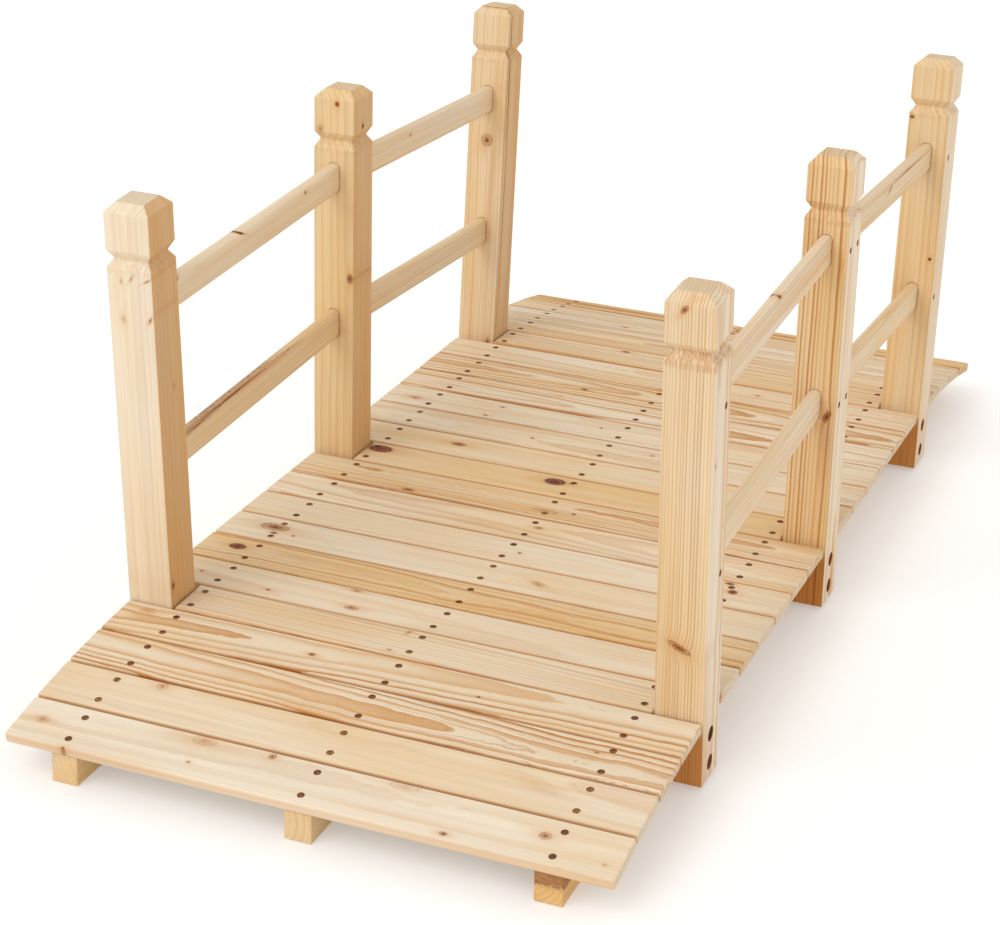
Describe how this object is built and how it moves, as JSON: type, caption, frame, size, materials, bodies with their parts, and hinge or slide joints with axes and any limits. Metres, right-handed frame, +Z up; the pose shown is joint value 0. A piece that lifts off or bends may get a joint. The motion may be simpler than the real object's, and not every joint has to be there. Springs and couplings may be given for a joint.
{
  "type": "garden footbridge",
  "caption": "Small wooden garden footbridge: slatted deck with down-curved ends on three stringers, capped and grooved posts, and two straight rails in each side bay.",
  "frame": {"origin": "on the floor below the middle of the bridge, at the centre of its footprint", "axes": "+X along the bridge from the near end to the far end, +Y across it towards the left-hand rail, +Z up"},
  "size_m": [1.48, 0.664, 0.552],
  "materials": {
    "pine_board": "unfinished planed pine",
    "pine_post": "unfinished planed pine",
    "pine_rail": "unfinished planed pine",
    "pine_stringer": "unfinished sawn pine",
    "zinc_fixing": "zinc-plated screws and bolts, darkened in their recesses"
  },
  "bodies": {
    "root": {"board_01": "pine_board", "board_02": "pine_board", "board_03": "pine_board", "board_04": "pine_board", "board_05": "pine_board", "board_06": "pine_board", "board_07": "pine_board", "board_08": "pine_board", "board_09": "pine_board", "board_10": "pine_board", "board_11": "pine_board", "board_12": "pine_board", "board_13": "pine_board", "board_14": "pine_board", "board_15": "pine_board", "board_16": "pine_board", "board_17": "pine_board", "board_18": "pine_board", "board_19": "pine_board", "board_20": "pine_board", "board_21": "pine_board", "board_22": "pine_board", "board_23": "pine_board", "stringer_left": "pine_stringer", "stringer_middle": "pine_stringer", "stringer_right": "pine_stringer", "post_near_left": "pine_post", "post_middle_left": "pine_post", "post_far_left": "pine_post", "post_near_right": "pine_post", "post_middle_right": "pine_post", "post_far_right": "pine_post", "rail_upper_near_left": "pine_rail", "rail_lower_near_left": "pine_rail", "rail_upper_far_left": "pine_rail", "rail_lower_far_left": "pine_rail", "rail_upper_near_right": "pine_rail", "rail_lower_near_right": "pine_rail", "rail_upper_far_right": "pine_rail", "rail_lower_far_right": "pine_rail"}
  },
  "joints": []
}
